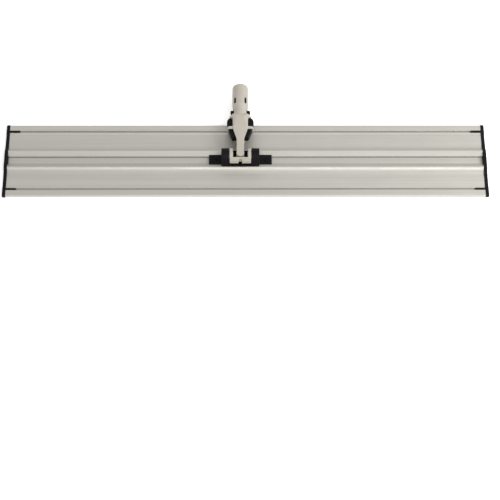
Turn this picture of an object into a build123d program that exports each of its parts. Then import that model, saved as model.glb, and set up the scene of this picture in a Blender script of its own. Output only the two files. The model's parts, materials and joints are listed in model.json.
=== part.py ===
"""Flat mop frame with a two-axis swivel and a quick-release handle plug.

The plate lies on the floor with its length along X and its sole at Z = 0.
The handle plug is laid back along +Y. All sizes are in millimetres.
"""
from build123d import *
import os

os.makedirs("parts", exist_ok=True)

# ---- Driving dimensions -------------------------------------------------------------

FRAME_LENGTH = 914.0            # over both end caps
FRAME_DEPTH = 158.0
CAP_THICKNESS = 6.5
CAP_BORDER = 0.6                # how far a cap stands proud of the extrusion
PRONG_LENGTH = 19.5
TAB_LENGTH = 1.0

UNDERSIDE = 0.5                 # height of the extrusion's underside
FLAT_TOP = 3.6
RIM_TOP = 5.6
RIM_INSET = 15.5                # from the long edge to the middle of the groove
GROOVE_HALF = 2.0
GROOVE_FLOOR = 2.0
BEAD_WIDTH = 2.0                # low bead on the inner side of the groove
BEAD_TOP = 4.6
SLOT_FLOOR = 2.2
LIP_UNDERSIDE = 3.9
SLOT_TOP = 4.9                  # where the slot's wall meets the sloping side of the trough
SLOT_HALF = 8.2
UNDERCUT_HALF = 11.4
RIDGE_TOP = 9.8
RIDGE_HALF = 17.2               # inner edge of the ridge beside the trough
RIDGE_WIDTH = 1.2
FOOT_HALF = 33.0                # where the ridge's hollow flank runs out into the flat

STRIP_INNER = 22.0
STRIP_OUTER = 60.0
STRIP_THICKNESS = 2.0

SWIVEL_X = -10.0                # where the swivel is clamped along the rail
AXIS_Z = 24.0                   # height of the tilt axis
BLOCK_HALF_X = 35.8
BLOCK_HALF_Y = 16.0
BLOCK_TOP = 13.8
WING_REACH = 59.5
WING_HALF_Y = 10.8
WING_TOP = 7.2
EAR_INNER = 21.2
EAR_RADIUS = 12.5
POCKET_RADIUS = 17.7
SCREW_X = 48.5                  # base screws, left and right

TILT_PIN_RADIUS = 4.0
TILT_BORE_RADIUS = 4.05
BUSH_RADIUS = 6.0
BUSH_FLANGE_RADIUS = 8.0
BUSH_FLANGE = 0.9
PIN_HEAD_RADIUS = 6.6
PIN_HEAD_RECESS = 2.2

CHEEK_INNER = 14.6
CHEEK_OUTER = 20.1
CHEEK_RADIUS = 12.8
WEB_RADIUS = 16.6
WEB_HALF_HEIGHT = 5.2
WEB_START = 9.7                 # the web's rear face, in front of the tilt axis
LUG_HALF = 3.0                  # half thickness of the lug that the swing pin goes through
LUG_RADIUS = 7.4
BOSS_FACE = 13.6                # inner face of the boss round each tilt pin
BOSS_OUTER_RADIUS = 6.2
NOTCH_HALF = 3.2                # notch in the middle of the web's front
NOTCH_DEPTH = 5.0

SWING_PIN_RADIUS = 3.0
SWING_BORE_RADIUS = 3.05
LOBE_GAP = 3.4                  # from the middle plane to each lobe of the tongue
LOBE_TOP = 9.0
LOBE_RADIUS = 7.4
SWING_PIN_TOP = 7.0             # the pin ends inside the upper lobe

PLUG_RADIUS = 15.5
CROWN_HALF_X = 23.5             # oval that rounds the plug's upper and lower faces
CROWN_HALF_Z = 14.8
PLUG_END = 153.0
PLUG_TIP_FILLET = 5.0
PLUG_LAND = 19.0                # bearing land behind the rounded tip
PLUG_RELIEF = 0.2
PLUG_CAVITY_RADIUS = 12.2
THROAT_RADIUS = 13.2            # the narrower part between shoulder and barrel
THROAT_CAVITY_RADIUS = 10.4
THROAT_END = 99.0
BARREL_START = 107.0
SHOULDER_START = 78.6
BAND_START = 52.0
BAND_END = 57.6
BAND_HALF_X = 25.0
BAND_HALF_Z = 10.8
LATCH_SPACE_START = 31.5        # the open space that holds the latch levers
LATCH_SPACE_HALF_X = 22.6
LATCH_SPACE_HALF_Z = 8.2
RIB_HALF = 1.6
BOSS_RADIUS = 3.3
SHELL_SCREW_Y = (56.5, 69.5, 117.0)
SLOT_X = 9.9                    # long slots through the barrel
SLOT_HALF_WIDTH = 1.7

LEVER_HALF_Z = 7.6
LATCH_PIVOT_X = 8.0
LATCH_PIVOT_Y = 45.0
LATCH_PIN_RADIUS = 1.5
LATCH_BORE_RADIUS = 1.55
ARM_INNER = 7.6                 # the lever's arm, outside its spring
ARM_OUTER = 10.4
STUD_Y = 94.0
STUD_RADIUS = 4.2
STUD_REACH = 18.8
SPRING_Y = 84.0
SPRING_RADIUS = 2.4
SPRING_WIRE = 0.35


# ---- Small helpers ------------------------------------------------------------------

def block(x_low, x_high, y_low, y_high, z_low, z_high):
    """A box between two corners."""
    centre = ((x_low + x_high) / 2, (y_low + y_high) / 2, (z_low + z_high) / 2)
    return Pos(*centre) * Box(x_high - x_low, y_high - y_low, z_high - z_low)


def rod_x(radius, x_low, x_high, y=0.0, z=AXIS_Z):
    """A cylinder along X."""
    return Pos((x_low + x_high) / 2, y, z) * Rot(0, 90, 0) * Cylinder(radius, x_high - x_low)


def rod_y(radius, y_low, y_high, x=0.0, z=AXIS_Z):
    """A cylinder along Y."""
    return Pos(x, (y_low + y_high) / 2, z) * Rot(90, 0, 0) * Cylinder(radius, y_high - y_low)


def rod_z(radius, z_low, z_high, x=0.0, y=0.0):
    """A cylinder along Z."""
    return Pos(x, y, (z_low + z_high) / 2) * Cylinder(radius, z_high - z_low)


def plan_solid(outline, z_low, z_high):
    """The outline, seen from above, between two heights."""
    face = Pos(0, 0, z_low) * Polygon(*outline, align=None)
    return extrude(face, amount=z_high - z_low, dir=(0, 0, 1))


def side_solid(outline, x_low, x_high):
    """The (Y, Z) outline, seen from the end, between two places along X."""
    face = Plane.YZ.offset(x_low) * Polygon(*outline, align=None)
    return extrude(face, amount=x_high - x_low, dir=(1, 0, 0))


def both_sides(points):
    """Closes a half outline, given from one end to the other, by mirroring its first number."""
    return points + [(-first, second) for first, second in reversed(points)]


def mirrored(shape):
    """The left-hand twin of a right-hand piece."""
    return mirror(shape, about=Plane.YZ)


def save(shape, name):
    """Writes one sub-part."""
    export_step(shape, f"parts/{name}.step")


def save_on_swivel(shape, name):
    """Writes a sub-part that is modelled with the swivel in the middle, where the swivel really is."""
    save(Pos(SWIVEL_X, 0, 0) * shape, name)


# ---- Plate: extrusion, end caps, hook strips ----------------------------------------

def frame_section():
    """Half of the extrusion's section as a face in Y and Z, on the +Y side."""
    edge = FRAME_DEPTH / 2 - CAP_BORDER
    groove = FRAME_DEPTH / 2 - RIM_INSET
    flank_top = (RIDGE_HALF + RIDGE_WIDTH + 0.3, RIDGE_TOP - 0.5)
    flank_middle = (RIDGE_HALF + 6.0, FLAT_TOP + 2.0)
    flank_end = (FOOT_HALF, FLAT_TOP)
    slot = Polyline((0, SLOT_FLOOR), (UNDERCUT_HALF, SLOT_FLOOR), (UNDERCUT_HALF, LIP_UNDERSIDE),
                    (SLOT_HALF, LIP_UNDERSIDE), (SLOT_HALF, SLOT_TOP), (RIDGE_HALF, RIDGE_TOP),
                    (RIDGE_HALF + RIDGE_WIDTH, RIDGE_TOP), flank_top)
    flank = ThreePointArc(flank_top, flank_middle, flank_end)
    rim = Polyline(flank_end, (groove - GROOVE_HALF - BEAD_WIDTH - 0.8, FLAT_TOP),
                   (groove - GROOVE_HALF - BEAD_WIDTH, BEAD_TOP),
                   (groove - GROOVE_HALF, BEAD_TOP), (groove - GROOVE_HALF, GROOVE_FLOOR),
                   (groove + GROOVE_HALF, GROOVE_FLOOR), (groove + GROOVE_HALF, RIM_TOP - 0.4),
                   (groove + GROOVE_HALF + 0.4, RIM_TOP), (edge - 2.2, RIM_TOP))
    nose = ThreePointArc((edge - 2.2, RIM_TOP), (edge - 0.45, RIM_TOP - 1.1), (edge, UNDERSIDE + 2.0))
    sole = Polyline((edge, UNDERSIDE + 2.0), (edge, UNDERSIDE + 0.6), (edge - 0.6, UNDERSIDE),
                    (STRIP_OUTER, UNDERSIDE), (STRIP_OUTER, STRIP_THICKNESS),
                    (STRIP_INNER, STRIP_THICKNESS), (STRIP_INNER, UNDERSIDE), (0, UNDERSIDE),
                    (0, SLOT_FLOOR))
    face = make_face([*slot.edges(), *flank.edges(), *rim.edges(), *nose.edges(), *sole.edges()])
    hollow = [(UNDERCUT_HALF + 1.6, UNDERSIDE + 1.5), (UNDERCUT_HALF + 1.6, 5.6),
              (RIDGE_HALF - 0.2, RIDGE_TOP - 2.2), (RIDGE_HALF + 2.4, 3.6),
              (RIDGE_HALF + 2.4, UNDERSIDE + 1.5)]
    return face - Polygon(*hollow, align=None)


def make_frame_extrusion():
    """The plate: a T-slot rail down the middle and a groove behind each rim."""
    half = extrude(Plane.YZ * frame_section(), amount=FRAME_LENGTH / 2 - CAP_THICKNESS, both=True)
    return half + mirror(half, about=Plane.XZ)


def make_right_end_cap():
    """A moulded cap over the plate's end, held by two prongs and a tab."""
    wall_start = FRAME_LENGTH / 2 - CAP_THICKNESS
    edge = FRAME_DEPTH / 2
    groove = edge - RIM_INSET
    half = [(edge, 0.3), (edge, RIM_TOP - 1.4), (edge - 2.4, RIM_TOP + CAP_BORDER),
            (groove - 4.4, RIM_TOP + CAP_BORDER), (groove - 7.0, FLAT_TOP + 1.2),
            (FOOT_HALF + 3, FLAT_TOP + 1.2), (RIDGE_HALF + 8, FLAT_TOP + 3.0),
            (RIDGE_HALF + RIDGE_WIDTH + 1.2, RIDGE_TOP), (RIDGE_HALF + 0.4, RIDGE_TOP + CAP_BORDER)]
    wall = side_solid(both_sides(half), wall_start, FRAME_LENGTH / 2)
    wall = fillet(wall.faces().sort_by(Axis.X)[-1].edges(), 1.4)
    tongues = []
    for side in (-1, 1):
        prong = block(wall_start - PRONG_LENGTH, wall_start, side * groove - 1.9, side * groove + 1.9,
                      GROOVE_FLOOR, RIM_TOP + 0.4)
        prong = chamfer(prong.edges().filter_by(Axis.Z).sort_by(Axis.X)[:2], 1.1)
        tongues.append(prong)
    tongues.append(block(wall_start - TAB_LENGTH, wall_start, -SLOT_HALF + 0.1, SLOT_HALF - 0.1,
                         SLOT_FLOOR, SLOT_TOP + 1.5))
    return wall + tongues


def make_hook_strip(side):
    """A strip of hook tape in the recess under one half of the plate."""
    reach = FRAME_LENGTH / 2 - CAP_THICKNESS - 1.0
    near, far = sorted((side * (STRIP_INNER + 0.2), side * (STRIP_OUTER - 0.2)))
    return block(-reach, reach, near, far, 0.0, STRIP_THICKNESS)


# ---- Swivel base and its fastenings --------------------------------------------------

def trough_solid(x_reach, half_width, top):
    """A bar that fills the trough and the slot below it, up to the given height."""
    slope = (RIDGE_TOP - SLOT_TOP) / (RIDGE_HALF - SLOT_HALF)
    side = SLOT_TOP + (half_width - SLOT_HALF) * slope
    half = [(SLOT_HALF - 0.1, LIP_UNDERSIDE + 0.1), (SLOT_HALF - 0.1, SLOT_TOP),
            (half_width, side + 0.05), (half_width, top)]
    return side_solid(both_sides(half), -x_reach, x_reach)


def make_swivel_base():
    """The black base: a block with two ears, and a wing at each end that is screwed down."""
    body = trough_solid(BLOCK_HALF_X, BLOCK_HALF_Y, BLOCK_TOP)
    wings = trough_solid(WING_REACH, WING_HALF_Y, WING_TOP)
    wings = fillet(wings.edges().filter_by(Axis.Z).group_by(SortBy.LENGTH)[-1], 0.4)
    wings = chamfer(wings.faces().sort_by(Axis.Z)[-1].edges(), 0.5)
    keel = block(-BLOCK_HALF_X, BLOCK_HALF_X, 0.1 - SLOT_HALF, SLOT_HALF - 0.1,
                 SLOT_FLOOR + 0.1, SLOT_TOP)
    base = body + wings + keel
    ear_foot = [(BLOCK_HALF_Y - 0.4, BLOCK_TOP - 1.0), (EAR_RADIUS, AXIS_Z)]
    for side in (-1, 1):
        low, high = sorted((side * EAR_INNER, side * BLOCK_HALF_X))
        ear = rod_x(EAR_RADIUS, low, high) + side_solid(both_sides(ear_foot), low, high)
        base += ear
    base -= rod_x(POCKET_RADIUS, -EAR_INNER, EAR_INNER)
    base -= rod_x(BUSH_RADIUS, -BLOCK_HALF_X - 1, BLOCK_HALF_X + 1)
    for side in (-1, 1):
        low, high = sorted((side * (BLOCK_HALF_X - PIN_HEAD_RECESS), side * (BLOCK_HALF_X + 1)))
        base -= rod_x(PIN_HEAD_RADIUS + 0.6, low, high)
        screw_x = side * SCREW_X
        base -= rod_z(2.7, SLOT_FLOOR, WING_TOP + 1, screw_x)
        base -= rod_z(4.9, WING_TOP - 1.4, WING_TOP + 1, screw_x)
    return base


def make_channel_nuts():
    """Two tapped plates that slide in the slot under the wings."""
    nuts = []
    for side in (-1, 1):
        plate = block(side * SCREW_X - 8, side * SCREW_X + 8, 0.4 - UNDERCUT_HALF,
                      UNDERCUT_HALF - 0.4, SLOT_FLOOR + 0.05, LIP_UNDERSIDE)
        nuts.append(plate - rod_z(2.5, SLOT_FLOOR, LIP_UNDERSIDE + 1, side * SCREW_X))
    return Compound(nuts)


def make_base_screws():
    """Two pan-head screws through the wings into the channel nuts."""
    seat = WING_TOP - 1.4
    screws = []
    for side in (-1, 1):
        x = side * SCREW_X
        head = rod_z(4.6, seat, seat + 2.2, x)
        head = fillet(head.edges().filter_by(GeomType.CIRCLE).sort_by(Axis.Z)[-1], 1.2)
        recess = block(x - 2.4, x + 2.4, -0.5, 0.5, seat + 1.0, seat + 3)
        recess += block(x - 0.5, x + 0.5, -2.4, 2.4, seat + 1.0, seat + 3)
        screws.append(head + rod_z(2.5, SLOT_FLOOR + 0.2, seat, x) - recess)
    return Compound(screws)


def make_right_tilt_bush():
    """A flanged bush pressed into one ear."""
    sleeve = rod_x(BUSH_RADIUS, EAR_INNER, BLOCK_HALF_X - PIN_HEAD_RECESS)
    flange = rod_x(BUSH_FLANGE_RADIUS, EAR_INNER - BUSH_FLANGE, EAR_INNER)
    return sleeve + flange - rod_x(TILT_BORE_RADIUS, EAR_INNER - 2, BLOCK_HALF_X)


# ---- Yoke and its pins ---------------------------------------------------------------

def make_yoke():
    """The grey yoke: two cheeks, a web across the front, and a lug for the swing pin."""
    cheeks = rod_x(CHEEK_RADIUS, -CHEEK_OUTER, CHEEK_OUTER)
    front = rod_x(WEB_RADIUS, -CHEEK_OUTER, CHEEK_OUTER)
    front &= block(-CHEEK_OUTER, CHEEK_OUTER, -WEB_RADIUS, 0,
                   AXIS_Z - WEB_HALF_HEIGHT, AXIS_Z + WEB_HALF_HEIGHT)
    yoke = cheeks + front
    yoke = fillet(yoke.faces().filter_by(Axis.X).edges(), 0.9)
    yoke -= block(-CHEEK_INNER, CHEEK_INNER, -WEB_START, WEB_RADIUS + 1,
                  AXIS_Z - WEB_RADIUS, AXIS_Z + WEB_RADIUS)
    yoke -= block(-NOTCH_HALF, NOTCH_HALF, -WEB_RADIUS - 1, NOTCH_DEPTH - WEB_RADIUS,
                  AXIS_Z - WEB_RADIUS, AXIS_Z + WEB_RADIUS)
    yoke += rod_z(LUG_RADIUS, AXIS_Z - LUG_HALF, AXIS_Z + LUG_HALF)
    yoke += block(-LUG_RADIUS, LUG_RADIUS, -WEB_START - 1, 0, AXIS_Z - LUG_HALF, AXIS_Z + LUG_HALF)
    for side in (-1, 1):
        low, high = sorted((side * BOSS_FACE, side * (CHEEK_INNER + 1)))
        yoke += rod_x(BOSS_OUTER_RADIUS, low, high)
        low, high = sorted((side * (BOSS_FACE - 1), side * (CHEEK_OUTER + 1)))
        yoke -= rod_x(TILT_PIN_RADIUS, low, high)
    return yoke - rod_z(SWING_PIN_RADIUS, 0, 2 * AXIS_Z)


def make_right_tilt_pin():
    """A headed pin, pressed into the cheek and turning in the bush."""
    head_start = BLOCK_HALF_X - PIN_HEAD_RECESS + 0.3
    head = rod_x(PIN_HEAD_RADIUS, head_start, BLOCK_HALF_X)
    head = fillet(head.edges().filter_by(GeomType.CIRCLE).sort_by(Axis.X)[-1], 0.8)
    return head + rod_x(TILT_PIN_RADIUS, BOSS_FACE + 0.4, head_start)


def make_swing_pin():
    """The pin that joins the plug's tongue to the yoke, pushed in from below."""
    pin = rod_z(SWING_PIN_RADIUS, AXIS_Z - LOBE_TOP - 1.8, AXIS_Z + SWING_PIN_TOP)
    return chamfer(pin.edges().filter_by(GeomType.CIRCLE), 0.4)


def make_swing_pin_clip():
    """A push-on ring that keeps the swing pin in place underneath."""
    low = AXIS_Z - LOBE_TOP - 1.2
    ring = rod_z(5.2, low, low + 0.9) - rod_z(SWING_PIN_RADIUS, low - 1, low + 2)
    return ring - block(-1.0, 1.0, 2.0, 8.0, low - 1, low + 2)


# ---- Handle plug: shells, screws, bushes ---------------------------------------------

def plug_blank():
    """The closed outer shape of the handle plug, before it is hollowed and split."""
    half_plan = [(7.0, 6), (7.0, 20), (6.6, 28), (9.0, 36), (11.5, 44), (13.3, 49), (14.4, 56),
                 (14.6, 72), (15.2, 77.0), (20.4, SHOULDER_START), (21.2, 79.6), (19.8, 81.4),
                 (14.6, 84.8), (9.0, 88.5)]
    half_side = [(-12, LOBE_TOP), (20, LOBE_TOP), (38, 10.4), (58, 13.0), (76, 14.2), (81, 14.0),
                 (88.5, 9.0)]
    plan = plan_solid(both_sides(half_plan), AXIS_Z - 20, AXIS_Z + 20)
    profile = [(y, AXIS_Z + z) for y, z in half_side]
    profile += [(y, AXIS_Z - z) for y, z in reversed(half_side)]
    crown = Pos(0, 0, AXIS_Z) * extrude(Plane.XZ * Ellipse(CROWN_HALF_X, CROWN_HALF_Z),
                                        amount=100, both=True)
    handle_end = plan & side_solid(profile, -30, 30) & crown
    land_end = PLUG_END - PLUG_TIP_FILLET
    relieved = PLUG_RADIUS - PLUG_RELIEF
    turned = [(0, 84), (THROAT_RADIUS, 84), (THROAT_RADIUS, THROAT_END), (relieved, BARREL_START),
              (relieved, land_end - PLUG_LAND), (PLUG_RADIUS, land_end - PLUG_LAND),
              (PLUG_RADIUS, PLUG_END), (0, PLUG_END)]
    barrel = Pos(0, 0, AXIS_Z) * revolve(Polygon(*turned, align=None), axis=Axis.Y)
    barrel = fillet(barrel.edges().filter_by(GeomType.CIRCLE).sort_by(Axis.Y)[-1], PLUG_TIP_FILLET)
    band = block(-BAND_HALF_X, BAND_HALF_X, BAND_START, BAND_END,
                 AXIS_Z - BAND_HALF_Z, AXIS_Z + BAND_HALF_Z)
    band = fillet(band.edges().filter_by(Axis.Y), 5.0)
    lobes = rod_z(LOBE_RADIUS, AXIS_Z - LOBE_TOP, AXIS_Z + LOBE_TOP)
    lobes += block(-7.0, 7.0, 0, 8, AXIS_Z - LOBE_TOP, AXIS_Z + LOBE_TOP)
    return handle_end + barrel + band + lobes


def plug_hollow():
    """All the space inside the handle plug."""
    z = AXIS_Z
    window_start = STUD_Y - STUD_RADIUS - 0.3
    window_end = STUD_Y + STUD_RADIUS + 1.4
    latch_space = block(-LATCH_SPACE_HALF_X, LATCH_SPACE_HALF_X, LATCH_SPACE_START, SHOULDER_START,
                        z - LATCH_SPACE_HALF_Z, z + LATCH_SPACE_HALF_Z)
    arm_space = block(-11.4, 11.4, SHOULDER_START - 1, window_end, z - 4.8, z + 4.8)
    throat_space = rod_y(THROAT_CAVITY_RADIUS, SHOULDER_START + 4, BARREL_START)
    barrel_space = rod_y(PLUG_CAVITY_RADIUS, BARREL_START, PLUG_END - 4)
    stud_windows = block(-20, 20, window_start, window_end, z - 4.8, z + 4.8)
    fork_gap = rod_z(LUG_RADIUS + 1.0, z - LOBE_GAP, z + LOBE_GAP)
    fork_gap += block(-20, 20, -20, 6, z - LOBE_GAP, z + LOBE_GAP)
    hollow = latch_space + arm_space + throat_space + barrel_space + stud_windows + fork_gap
    for side in (-1, 1):
        slot = block(side * SLOT_X - SLOT_HALF_WIDTH, side * SLOT_X + SLOT_HALF_WIDTH,
                     108.5, 122.5, z - 20, z + 20)
        hollow += fillet(slot.edges().filter_by(Axis.Z), SLOT_HALF_WIDTH - 0.1)
    rib = block(-RIB_HALF, RIB_HALF, LATCH_SPACE_START - 1, window_end + 1, 0, 2 * AXIS_Z)
    bosses = [rod_z(BOSS_RADIUS, 0, 2 * AXIS_Z, y=y) for y in SHELL_SCREW_Y]
    return hollow - rib - bosses


def make_plug_shells():
    """The two halves of the handle plug, which meet on the middle plane."""
    plug = plug_blank() - plug_hollow()
    plug -= rod_z(4.5, 0, AXIS_Z + SWING_PIN_TOP + 0.2)
    for side in (-1, 1):
        plug -= rod_z(LATCH_PIN_RADIUS, AXIS_Z - 9.8, AXIS_Z + 9.8, side * LATCH_PIVOT_X,
                      LATCH_PIVOT_Y)
    for y in SHELL_SCREW_Y:
        plug -= rod_z(1.5, 0, AXIS_Z + 8.0, y=y)
        plug -= rod_z(3.0, 0, AXIS_Z - 9.5, y=y)
    upper = plug & block(-40, 40, -20, 160, AXIS_Z, AXIS_Z + 30)
    lower = plug & block(-40, 40, -20, 160, AXIS_Z - 30, AXIS_Z)
    return upper, lower


def make_shell_screws():
    """Self-tapping screws up through the lower shell into the bosses of the upper one."""
    screws = []
    for y in SHELL_SCREW_Y:
        head = rod_z(2.8, AXIS_Z - 11.3, AXIS_Z - 9.5, y=y)
        shank = rod_z(1.5, AXIS_Z - 9.5, AXIS_Z + 6.5, y=y)
        recess = block(-1.6, 1.6, y - 0.35, y + 0.35, AXIS_Z - 12, AXIS_Z - 10.5)
        recess += block(-0.35, 0.35, y - 1.6, y + 1.6, AXIS_Z - 12, AXIS_Z - 10.5)
        screws.append(head + shank - recess)
    return Compound(screws)


def make_swing_bushes():
    """A plain bush in each lobe of the tongue."""
    bushes = []
    for low, high in ((LOBE_GAP, SWING_PIN_TOP), (-LOBE_TOP, -LOBE_GAP)):
        bore = rod_z(SWING_BORE_RADIUS, AXIS_Z + low - 1, AXIS_Z + high + 1)
        bushes.append(rod_z(4.5, AXIS_Z + low, AXIS_Z + high) - bore)
    return Compound(bushes)


# ---- Latch levers, pins and springs --------------------------------------------------

def make_right_latch_pin():
    """The pin that one latch lever turns on, held by both shells."""
    return rod_z(LATCH_PIN_RADIUS, AXIS_Z - 9.8, AXIS_Z + 9.8, LATCH_PIVOT_X, LATCH_PIVOT_Y)


def make_right_latch_lever():
    """One lever: a bar beside the neck, a squeeze button, an arm and a locking stud."""
    bottom = AXIS_Z - LEVER_HALF_Z
    top = AXIS_Z + LEVER_HALF_Z
    bar = [(8.6, 36.2), (12.0, 35.4), (15.0, 35.8), (16.6, 37.8), (21.3, 50.0), (21.5, 62.0),
           (15.6, 66.0), (15.6, 75.2), (8.6, 75.2), (8.6, 66.0), (5.4, 55.0), (3.9, 49.5),
           (3.9, 43.0), (6.0, 38.6)]
    lever = plan_solid(bar, bottom, top)
    button = extrude(Pos(20.3, 67.2, bottom) * Ellipse(5.2, 9.8), amount=top - bottom)
    lever += fillet(button.edges(), 1.6)
    lever += block(ARM_INNER, ARM_OUTER, 68, STUD_Y + STUD_RADIUS, AXIS_Z - 3.6, AXIS_Z + 3.6)
    stud = rod_x(STUD_RADIUS, ARM_OUTER - 0.4, STUD_REACH, STUD_Y)
    lever += fillet(stud.edges().filter_by(GeomType.CIRCLE).sort_by(Axis.X)[-1], 1.8)
    return lever - rod_z(LATCH_BORE_RADIUS, 0, 2 * AXIS_Z, LATCH_PIVOT_X, LATCH_PIVOT_Y)


def make_right_latch_spring():
    """A coil spring between the shells' middle rib and the lever's arm."""
    start = RIB_HALF + SPRING_WIRE
    length = ARM_INNER - SPRING_WIRE - start
    path = Helix(pitch=length / 5, height=length, radius=SPRING_RADIUS)
    wire = sweep(Plane(origin=path @ 0, z_dir=path % 0) * Circle(SPRING_WIRE), path=path,
                 is_frenet=True)
    return Pos(start, SPRING_Y, AXIS_Z) * Rot(0, 90, 0) * wire


# ---- Build and write every piece -----------------------------------------------------

save(make_frame_extrusion(), "frame_extrusion")
right_cap = make_right_end_cap()
save(right_cap, "right_end_cap")
save(mirrored(right_cap), "left_end_cap")
save(make_hook_strip(-1), "front_hook_strip")
save(make_hook_strip(1), "rear_hook_strip")

save_on_swivel(make_swivel_base(), "swivel_base")
save_on_swivel(make_channel_nuts(), "channel_nuts")
save_on_swivel(make_base_screws(), "base_screws")
save_on_swivel(make_yoke(), "yoke")
save_on_swivel(make_swing_pin(), "swing_pin")
save_on_swivel(make_swing_pin_clip(), "swing_pin_clip")

upper_shell, lower_shell = make_plug_shells()
save_on_swivel(upper_shell, "plug_upper_shell")
save_on_swivel(lower_shell, "plug_lower_shell")
save_on_swivel(make_shell_screws(), "plug_shell_screws")
save_on_swivel(make_swing_bushes(), "swing_bushes")

right_hand_pieces = {
    "tilt_bush": make_right_tilt_bush(),
    "tilt_pin": make_right_tilt_pin(),
    "latch_lever": make_right_latch_lever(),
    "latch_pin": make_right_latch_pin(),
    "latch_spring": make_right_latch_spring(),
}
for name, piece in right_hand_pieces.items():
    save_on_swivel(piece, f"right_{name}")
    save_on_swivel(mirrored(piece), f"left_{name}")
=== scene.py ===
"""A long flat mop frame with its handle plug laid back, on a white studio floor."""
import json
import math

import bpy
from mathutils import Matrix, Vector


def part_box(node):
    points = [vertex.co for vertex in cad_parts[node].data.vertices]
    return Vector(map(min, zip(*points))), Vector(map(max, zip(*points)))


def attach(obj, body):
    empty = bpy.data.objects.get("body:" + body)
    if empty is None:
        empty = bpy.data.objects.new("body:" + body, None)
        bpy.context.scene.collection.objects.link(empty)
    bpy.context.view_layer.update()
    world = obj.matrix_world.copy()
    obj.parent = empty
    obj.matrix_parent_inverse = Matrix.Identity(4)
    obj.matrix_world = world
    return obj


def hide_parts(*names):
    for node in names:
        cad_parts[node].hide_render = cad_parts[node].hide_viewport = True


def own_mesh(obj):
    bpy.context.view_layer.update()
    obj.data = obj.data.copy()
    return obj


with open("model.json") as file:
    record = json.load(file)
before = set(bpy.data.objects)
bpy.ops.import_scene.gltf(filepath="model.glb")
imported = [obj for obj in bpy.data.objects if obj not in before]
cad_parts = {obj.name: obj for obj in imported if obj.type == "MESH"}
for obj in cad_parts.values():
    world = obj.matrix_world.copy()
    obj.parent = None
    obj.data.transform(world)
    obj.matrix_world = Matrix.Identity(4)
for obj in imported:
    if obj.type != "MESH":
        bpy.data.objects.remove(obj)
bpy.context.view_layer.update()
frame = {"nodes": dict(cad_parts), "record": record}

nodes = frame["nodes"]


# ---- Camera -------------------------------------------------------------------------

CAMERA_PLACE = (-0.0133, -1.6319, 2.6799)      # metres
CAMERA_PITCH = 61.73            # degrees below the horizon
CAMERA_YAW = -0.83              # degrees
CAMERA_ROLL = 0.68              # degrees
CAMERA_LENS = 118.8             # millimetres


def make_camera():
    """The camera looks down on the front edge from a little over three metres away."""
    data = bpy.data.cameras.new("camera")
    data.lens = CAMERA_LENS
    data.sensor_width = 36.0
    data.clip_end = 50.0
    camera = bpy.data.objects.new("camera", data)
    turn = Matrix.Rotation(math.radians(CAMERA_YAW), 4, "Z")
    turn = turn @ Matrix.Rotation(math.radians(90 - CAMERA_PITCH), 4, "X")
    turn = turn @ Matrix.Rotation(math.radians(CAMERA_ROLL), 4, "Z")
    camera.matrix_world = Matrix.Translation(CAMERA_PLACE) @ turn
    bpy.context.scene.collection.objects.link(camera)
    bpy.context.scene.camera = camera


# ---- Materials ----------------------------------------------------------------------

EDGE_ROUNDING = 0.0006          # metres; softens the shading of every edge
BEVEL_SAMPLES = 4
EDGE_DOT = 0.8                  # softened normal dotted with the true one, at a fully rubbed edge
NOISE_LOW = 0.3                 # nearly all of a noise pattern lies between these two values
NOISE_HIGH = 0.7
COLOUR_A = 6                    # a Mix node's colour sockets; its other types share their names
COLOUR_B = 7
COLOUR_RESULT = 2


def set_inputs(shader, **values):
    """Sets constants on a shader's own sockets; underscores stand for spaces."""
    for name, value in values.items():
        shader.inputs[name.replace("_", " ")].default_value = value


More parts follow.
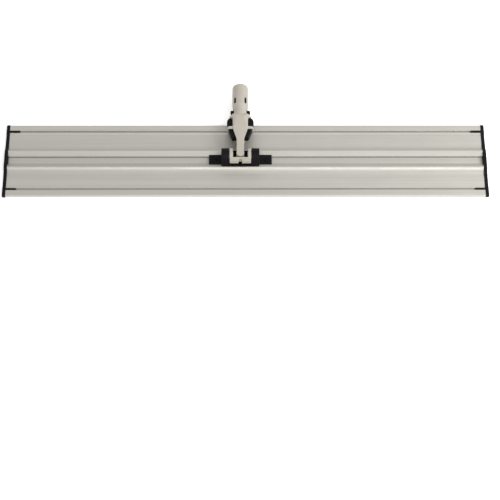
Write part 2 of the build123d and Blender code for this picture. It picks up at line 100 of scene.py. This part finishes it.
class Surface:
    """One procedural material, built up from noise in the object's own coordinates."""

    def __init__(self, name, metallic, specular):
        self.material = bpy.data.materials.new(name)
        self.material.use_nodes = True
        self.tree = self.material.node_tree
        self.shader = self.tree.nodes["Principled BSDF"]
        set_inputs(self.shader, Metallic=metallic, Specular_IOR_Level=specular)
        self.place = self.node("ShaderNodeTexCoord").outputs["Object"]
        self.normal = self.rounded_normal(EDGE_ROUNDING)
        self.tree.links.new(self.normal, self.shader.inputs["Normal"])

    def node(self, kind, **settings):
        """Adds a node with the given settings."""
        added = self.tree.nodes.new(kind)
        for key, value in settings.items():
            setattr(added, key, value)
        return added

    def rounded_normal(self, radius):
        """A normal that turns gradually across each edge."""
        bevel = self.node("ShaderNodeBevel", samples=BEVEL_SAMPLES)
        set_inputs(bevel, Radius=radius)
        return bevel.outputs["Normal"]

    def noise(self, scale, stretch=(1, 1, 1), detail=4.0, roughness=0.55):
        """A noise pattern, optionally stretched along an axis, as a value near a half."""
        mapping = self.node("ShaderNodeMapping")
        set_inputs(mapping, Scale=stretch)
        self.tree.links.new(self.place, mapping.inputs["Vector"])
        texture = self.node("ShaderNodeTexNoise")
        set_inputs(texture, Scale=scale, Detail=detail, Roughness=roughness)
        self.tree.links.new(mapping.outputs["Vector"], texture.inputs["Vector"])
        return texture.outputs["Fac"]

    def spread(self, value, low, high):
        """Stretches the middle of a noise value over a new range."""
        spread = self.node("ShaderNodeMapRange")
        set_inputs(spread, From_Min=NOISE_LOW, From_Max=NOISE_HIGH, To_Min=low, To_Max=high)
        self.tree.links.new(value, spread.inputs["Value"])
        return spread.outputs["Result"]

    def edge_mask(self, gain):
        """Zero on the object's faces, and up to a gain on its edges."""
        geometry = self.node("ShaderNodeNewGeometry")
        dot = self.node("ShaderNodeVectorMath", operation="DOT_PRODUCT")
        self.tree.links.new(geometry.outputs["Normal"], dot.inputs[0])
        self.tree.links.new(self.rounded_normal(2 * EDGE_ROUNDING), dot.inputs[1])
        mask = self.node("ShaderNodeMapRange")
        set_inputs(mask, From_Min=1.0, From_Max=EDGE_DOT, To_Min=0.0, To_Max=gain)
        self.tree.links.new(dot.outputs["Value"], mask.inputs["Value"])
        return mask.outputs["Result"]

    def mix(self, factor, first, second):
        """A colour between two others, each a colour or another node's output."""
        mix = self.node("ShaderNodeMix", data_type="RGBA")
        self.tree.links.new(factor, mix.inputs["Factor"])
        for place, colour in ((COLOUR_A, first), (COLOUR_B, second)):
            socket = mix.inputs[place]
            if isinstance(colour, tuple):
                socket.default_value = (*colour, 1)
            else:
                self.tree.links.new(colour, socket)
        return mix.outputs[COLOUR_RESULT]

    def colour(self, value):
        """Gives the shader its base colour."""
        self.tree.links.new(value, self.shader.inputs["Base Color"])

    def roughness(self, value):
        """Gives the shader its roughness."""
        self.tree.links.new(value, self.shader.inputs["Roughness"])

    def bump(self, height, strength, distance):
        """Adds a bump on top of the normal so far."""
        bump = self.node("ShaderNodeBump")
        set_inputs(bump, Strength=strength, Distance=distance)
        self.tree.links.new(height, bump.inputs["Height"])
        self.tree.links.new(self.normal, bump.inputs["Normal"])
        self.normal = bump.outputs["Normal"]
        self.tree.links.new(self.normal, self.shader.inputs["Normal"])


def anodised_aluminium():
    """Satin anodised aluminium with draw lines along X and a few faint scuffs."""
    surface = Surface("anodised_aluminium", metallic=0.55, specular=0.5)
    lines = surface.noise(scale=620, stretch=(0.004, 1, 1), detail=6, roughness=0.7)
    bands = surface.noise(scale=70, stretch=(0.01, 1, 1), detail=2)
    scuffs = surface.noise(scale=28, stretch=(0.5, 1, 1), detail=8, roughness=0.7)
    dark_band = (0.455, 0.44, 0.40)
    light_band = (0.515, 0.50, 0.456)
    draw_line = (0.385, 0.372, 0.34)
    rubbed_edge = (0.66, 0.645, 0.60)
    tint = surface.mix(surface.spread(bands, low=0, high=1), dark_band, light_band)
    tint = surface.mix(surface.spread(lines, low=0, high=0.45), tint, draw_line)
    tint = surface.mix(surface.edge_mask(gain=0.6), tint, rubbed_edge)
    surface.colour(tint)
    surface.roughness(surface.spread(scuffs, low=0.36, high=0.5))
    surface.bump(lines, strength=0.25, distance=0.00008)
    return surface.material


def moulded_plastic(name, dark, light, edge, rough, specular):
    """Injection-moulded plastic with a fine spark-eroded grain and paler rubbed edges."""
    surface = Surface(name, metallic=0.0, specular=specular)
    cloud = surface.noise(scale=45, detail=5)
    grain = surface.noise(scale=1400, detail=2, roughness=0.6)
    tint = surface.mix(surface.spread(cloud, low=0, high=1), dark, light)
    tint = surface.mix(surface.edge_mask(gain=0.5), tint, edge)
    surface.colour(tint)
    surface.roughness(surface.spread(cloud, low=rough - 0.05, high=rough + 0.06))
    surface.bump(grain, strength=0.35, distance=0.00012)
    return surface.material


def drawn_steel(name, dark, light, rough):
    """Bright, plated or blackened steel with fine drawing marks along Z."""
    surface = Surface(name, metallic=1.0, specular=0.5)
    marks = surface.noise(scale=900, stretch=(1, 1, 0.15), detail=3)
    cloud = surface.noise(scale=120, detail=4)
    surface.colour(surface.mix(surface.spread(cloud, low=0, high=1), dark, light))
    surface.roughness(surface.spread(marks, low=rough - 0.08, high=rough + 0.1))
    surface.bump(marks, strength=0.2, distance=0.00005)
    return surface.material


def hook_tape():
    """Black woven nylon tape with a dull sheen."""
    surface = Surface("hook_tape", metallic=0.0, specular=0.2)
    set_inputs(surface.shader, Sheen_Weight=0.35, Sheen_Roughness=0.6)
    threads = surface.noise(scale=900, stretch=(1, 0.3, 1), detail=2)
    cross_threads = surface.noise(scale=900, stretch=(0.3, 1, 1), detail=2)
    gap = (0.012, 0.012, 0.013)
    thread = (0.05, 0.05, 0.053)
    surface.colour(surface.mix(surface.spread(threads, low=0, high=1), gap, thread))
    surface.roughness(surface.spread(cross_threads, low=0.75, high=0.95))
    surface.bump(threads, strength=0.6, distance=0.0002)
    surface.bump(cross_threads, strength=0.6, distance=0.0002)
    return surface.material


def make_materials():
    """One finished material for each of the record's slots."""
    return {
        "anodised_aluminium": anodised_aluminium(),
        "black_plastic": moulded_plastic(
            "black_plastic", dark=(0.0025, 0.002, 0.003), light=(0.005, 0.0045, 0.006),
            edge=(0.02, 0.019, 0.021), rough=0.55, specular=0.12),
        "grey_plastic": moulded_plastic(
            "grey_plastic", dark=(0.376, 0.348, 0.301), light=(0.416, 0.387, 0.336),
            edge=(0.50, 0.47, 0.41), rough=0.5, specular=0.3),
        "white_nylon": moulded_plastic(
            "white_nylon", dark=(0.66, 0.65, 0.60), light=(0.74, 0.73, 0.69),
            edge=(0.80, 0.79, 0.76), rough=0.42, specular=0.5),
        "zinc_steel": drawn_steel(
            "zinc_steel", dark=(0.40, 0.40, 0.41), light=(0.58, 0.58, 0.57), rough=0.36),
        "black_steel": drawn_steel(
            "black_steel", dark=(0.010, 0.010, 0.011), light=(0.020, 0.020, 0.021), rough=0.45),
        "spring_steel": drawn_steel(
            "spring_steel", dark=(0.34, 0.34, 0.36), light=(0.48, 0.48, 0.50), rough=0.26),
        "hook_tape": hook_tape(),
    }


# ---- Surfaces of the carried-over pieces --------------------------------------------

SMOOTH_ANGLE = 32.0             # degrees; a flatter fold than this is shaded as a curve
BEVEL_ANGLE = 40.0              # degrees; only a sharper fold than this is bevelled
MOULDED_GRID = {                # metres; grid for rounding the edges of each moulded piece
    "plug_upper_shell": 0.00055,
    "plug_lower_shell": 0.00055,
    "yoke": 0.00045,
    "swivel_base": 0.0005,
    "left_latch_lever": 0.0003,
    "right_latch_lever": 0.0003,
}
EDGE_BEVEL = {                  # metres; narrow bevels on the simpler pieces
    "left_end_cap": 0.0005,
    "right_end_cap": 0.0005,
    "left_tilt_bush": 0.0002,
    "right_tilt_bush": 0.0002,
    "swing_pin_clip": 0.0002,
}


def round_moulded_edges(piece, grid):
    """Rounds all edges as a mould does, and barely moves the faces."""
    remesh = piece.modifiers.new("mould_grid", "REMESH")
    remesh.mode = "VOXEL"
    remesh.voxel_size = grid
    remesh.use_smooth_shade = True
    smooth = piece.modifiers.new("mould_rounding", "SMOOTH")
    smooth.factor = 0.5
    smooth.iterations = 4


def bevel_edges(piece, width):
    """Adds a narrow two-step bevel to every edge sharper than the bevel angle."""
    bevel = piece.modifiers.new("edge_bevel", "BEVEL")
    bevel.width = width
    bevel.segments = 2
    bevel.limit_method = "ANGLE"
    bevel.angle_limit = math.radians(BEVEL_ANGLE)


def dress_nodes(materials):
    """Gives each carried-over piece its material, smooth shading and softened edges."""
    slots = {row["node"]: row["material_slot"] for row in frame["record"]["subparts"]}
    for name, piece in nodes.items():
        piece.data.materials.clear()
        piece.data.materials.append(materials[slots[name]])
        piece.data.polygons.foreach_set("use_smooth", [True] * len(piece.data.polygons))
        piece.data.set_sharp_from_angle(angle=math.radians(SMOOTH_ANGLE))
        if name in MOULDED_GRID:
            round_moulded_edges(piece, MOULDED_GRID[name])
        if name in EDGE_BEVEL:
            bevel_edges(piece, EDGE_BEVEL[name])


# ---- Hook strips --------------------------------------------------------------------

HOOK_PITCH = 0.0026             # metres between one hook and the next
HOOK_HALF = 0.00045             # half of a hook's width, and how far its tip leans
TAPE_BACK = 0.0009              # thickness of the woven backing


def make_hook_tape(node, material):
    """A woven backing with rows of short slanted hooks that reach down to the sole."""
    low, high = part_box(node)
    verts = []
    faces = []

    def add_box(x_low, x_high, y_low, y_high, z_low, z_high, lean=0.0):
        """Adds a box whose lower end may lean along X."""
        first = len(verts)
        for z, shift in ((z_low, lean), (z_high, 0.0)):
            verts.append((x_low + shift, y_low, z))
            verts.append((x_high + shift, y_low, z))
            verts.append((x_high + shift, y_high, z))
            verts.append((x_low + shift, y_high, z))
        faces.append((first + 3, first + 2, first + 1, first))
        faces.append((first + 4, first + 5, first + 6, first + 7))
        for side in range(4):
            after = (side + 1) % 4
            faces.append((first + side, first + after, first + 4 + after, first + 4 + side))

    add_box(low[0], high[0], low[1], high[1], high[2] - TAPE_BACK, high[2])
    columns = int((high[0] - low[0]) / HOOK_PITCH) - 1
    rows = int((high[1] - low[1]) / HOOK_PITCH) - 1
    x_start = (low[0] + high[0] - (columns - 1) * HOOK_PITCH) / 2
    y_start = (low[1] + high[1] - (rows - 1) * HOOK_PITCH) / 2
    for column in range(columns):
        for row in range(rows):
            x = x_start + column * HOOK_PITCH
            y = y_start + row * HOOK_PITCH
            lean = HOOK_HALF * (1 if row % 2 else -1)
            add_box(x - HOOK_HALF, x + HOOK_HALF, y - HOOK_HALF, y + HOOK_HALF,
                    low[2], high[2] - TAPE_BACK, lean)
    mesh = bpy.data.meshes.new(node + "_hooks")
    mesh.from_pydata(verts, [], faces)
    mesh.materials.append(material)
    tape = bpy.data.objects.new(node + "_hooks", mesh)
    bpy.context.scene.collection.objects.link(tape)
    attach(tape, "frame")
    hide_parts(node)


# ---- Latch springs ------------------------------------------------------------------

SPRING_WIRE = 0.00032           # radius of the wire, in metres
SPRING_TURNS = 3.5
TURN_STEPS = 32
WIRE_SIDES = 8
EVEN_PITCH = 0.6                # share of the travel spread evenly; the rest falls mostly in the middle


def spring_point(low, high, share, turn):
    """A point on the wire's surface, at a share of its length and a turn round the wire."""
    coil = (high[2] - low[2]) / 2 - SPRING_WIRE
    travel = high[0] - low[0] - 2 * SPRING_WIRE
    eased = EVEN_PITCH * share + (1 - EVEN_PITCH) * share * share * (3 - 2 * share)
    angle = 2 * math.pi * SPRING_TURNS * share
    reach = coil + SPRING_WIRE * math.cos(turn)
    return (low[0] + SPRING_WIRE * (1 + math.sin(turn)) + travel * eased,
            (low[1] + high[1]) / 2 + reach * math.cos(angle),
            (low[2] + high[2]) / 2 + reach * math.sin(angle))


def make_latch_spring(side, material):
    """A coil spring with closer end turns."""
    node = side + "_latch_spring"
    low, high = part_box(node)
    steps = int(SPRING_TURNS * TURN_STEPS)
    verts = [spring_point(low, high, step / steps, 2 * math.pi * corner / WIRE_SIDES)
             for step in range(steps + 1) for corner in range(WIRE_SIDES)]
    faces = [tuple(range(WIRE_SIDES)),
             tuple(reversed(range(steps * WIRE_SIDES, (steps + 1) * WIRE_SIDES)))]
    for step in range(steps):
        for corner in range(WIRE_SIDES):
            here = step * WIRE_SIDES + corner
            after = step * WIRE_SIDES + (corner + 1) % WIRE_SIDES
            faces.append((here, here + WIRE_SIDES, after + WIRE_SIDES, after))
    mesh = bpy.data.meshes.new(node + "_coil")
    mesh.from_pydata(verts, [], faces)
    mesh.materials.append(material)
    mesh.polygons.foreach_set("use_smooth", [True] * len(mesh.polygons))
    spring = bpy.data.objects.new(node + "_coil", mesh)
    bpy.context.scene.collection.objects.link(spring)
    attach(spring, "plug")
    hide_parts(node)
    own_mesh(spring)


# ---- Studio -------------------------------------------------------------------------

SKY_STRENGTH = 0.8
KEY_PLACE = (1.7, 0.5, 1.5)
KEY_SIZE = (1.0, 1.0)
KEY_POWER = 26.0
STRIP_PLACE = (0.5, -1.3, 1.05)
STRIP_SIZE = (2.4, 0.25)
STRIP_POWER = 16.0
FLOOR_REACH = 12.0
FLOOR_COLOUR = (0.95, 0.95, 0.95, 1)
FLOOR_GLOW = 0.3                # keeps the floor white beside the object


def area_light(name, place, size, power):
    """A soft white rectangular lamp aimed at the object's origin."""
    data = bpy.data.lights.new(name, "AREA")
    data.shape = "RECTANGLE"
    data.size, data.size_y = size
    data.energy = power
    lamp = bpy.data.objects.new(name, data)
    lamp.location = place
    lamp.rotation_euler = (-Vector(place)).to_track_quat("-Z", "Y").to_euler()
    bpy.context.scene.collection.objects.link(lamp)


def make_floor():
    """A plain white floor."""
    mesh = bpy.data.meshes.new("floor")
    corners = [(-FLOOR_REACH, -FLOOR_REACH, 0), (FLOOR_REACH, -FLOOR_REACH, 0),
               (FLOOR_REACH, FLOOR_REACH, 0), (-FLOOR_REACH, FLOOR_REACH, 0)]
    mesh.from_pydata(corners, [], [(0, 1, 2, 3)])
    floor = bpy.data.objects.new("floor", mesh)
    bpy.context.scene.collection.objects.link(floor)
    paper = bpy.data.materials.new("floor_paper")
    paper.use_nodes = True
    set_inputs(paper.node_tree.nodes["Principled BSDF"], Base_Color=FLOOR_COLOUR,
               Roughness=0.9, Specular_IOR_Level=0.2, Emission_Color=(1, 1, 1, 1),
               Emission_Strength=FLOOR_GLOW)
    mesh.materials.append(paper)


def make_studio():
    """A bright even sky, a key light from the right and a long strip in front; no film curve."""
    make_floor()
    world = bpy.data.worlds.new("studio")
    world.use_nodes = True
    set_inputs(world.node_tree.nodes["Background"], Color=(1, 1, 1, 1), Strength=SKY_STRENGTH)
    bpy.context.scene.world = world
    bpy.context.scene.view_settings.view_transform = "Standard"
    area_light("key", KEY_PLACE, KEY_SIZE, KEY_POWER)
    area_light("front_strip", STRIP_PLACE, STRIP_SIZE, STRIP_POWER)


# ---- Put it together ----------------------------------------------------------------

make_camera()
materials = make_materials()
dress_nodes(materials)
for strip in ("front_hook_strip", "rear_hook_strip"):
    make_hook_tape(strip, materials["hook_tape"])
for side in ("left", "right"):
    make_latch_spring(side, materials["spring_steel"])
make_studio()
